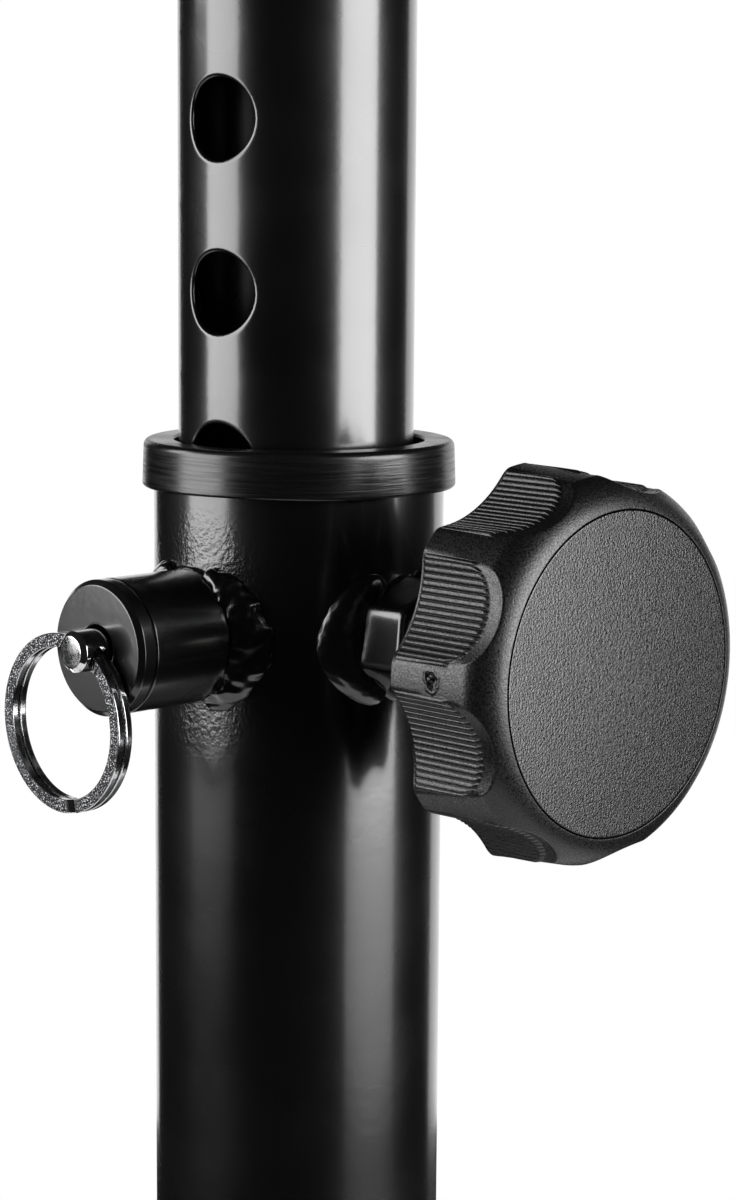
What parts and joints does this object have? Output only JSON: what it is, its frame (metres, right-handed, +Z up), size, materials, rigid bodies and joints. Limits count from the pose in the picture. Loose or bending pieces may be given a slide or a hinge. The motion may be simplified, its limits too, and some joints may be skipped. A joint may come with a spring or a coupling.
{
  "type": "speaker pole",
  "caption": "Telescopic steel speaker pole: an inner tube with a row of holes slides in an outer tube, locked by a sprung pull-ring pin and clamped by a star knob.",
  "frame": {"origin": "middle of the foot's flat underside", "axes": "+Z up the pole; -Y the way the lock pin points; +X the way the clamp knob points"},
  "size_m": [0.0732, 0.0573, 0.7558],
  "materials": {
    "powder_coat": "semi-gloss black powder coat on steel",
    "collar_plastic": "satin moulded black plastic",
    "knob_plastic": "fine-grained moulded black plastic",
    "knob_cap_plastic": "coarse spark-eroded grain on black plastic",
    "chrome": "bright plated steel",
    "zinc_steel": "zinc plated steel",
    "nylon": "natural nylon"
  },
  "bodies": {
    "lower_pole": {"lower_tube": "powder_coat", "foot_plug": "collar_plastic", "collar": "collar_plastic", "pin_boss": "powder_coat", "boss_cap": "powder_coat", "boss_weld_near_knob": "powder_coat", "boss_weld_far": "powder_coat", "pin_spring": "zinc_steel", "clamp_nut": "powder_coat", "nut_weld_near_pin": "powder_coat", "nut_weld_far": "powder_coat"},
    "upper_pole": {"upper_tube": "powder_coat", "glide_plug": "collar_plastic", "top_adaptor": "collar_plastic", "adaptor_screw": "zinc_steel", "top_plug": "collar_plastic"},
    "washer": {"spring_washer": "zinc_steel"},
    "pin": {"lock_pin": "chrome"},
    "ring": {"split_ring": "chrome"},
    "pad": {"pressure_pad": "nylon"},
    "knob": {"knob_body": "knob_plastic", "knob_cap": "knob_cap_plastic", "clamp_screw": "zinc_steel"}
  },
  "joints": [
    {"name": "mast_slide", "type": "slide", "parent": "lower_pole", "child": "upper_pole", "axis": [0, 0, 1], "range_m": [-0.12, 0.24]},
    {"name": "pin_pull", "type": "slide", "parent": "lower_pole", "child": "washer", "axis": [0, -1, 0], "range_m": [0, 0.004], "stiffness_N_per_m": 600, "springref_m": -0.006, "deforming": ["pin_spring"]},
    {"name": "pin_turn", "type": "hinge", "parent": "washer", "child": "pin", "pos_m": [0, -0.033, 0.5033], "axis": [0, -1, 0], "continuous": true},
    {"name": "ring_swing", "type": "hinge", "parent": "pin", "child": "ring", "pos_m": [0, -0.033, 0.5033], "axis": [-0.9205, 0, 0.3907], "range_deg": [0, 170]},
    {"name": "screw_feed", "type": "slide", "parent": "lower_pole", "child": "pad", "axis": [1, 0, 0], "range_m": [0, 0.00375]},
    {"name": "knob_turn", "type": "hinge", "parent": "pad", "child": "knob", "pos_m": [0.045, 0, 0.5033], "axis": [1, 0, 0], "range_deg": [0, 1080]}
  ],
  "couplings": [
    {"joint": "screw_feed", "follows": "knob_turn", "m_per_rad": 0.00019894}
  ]
}
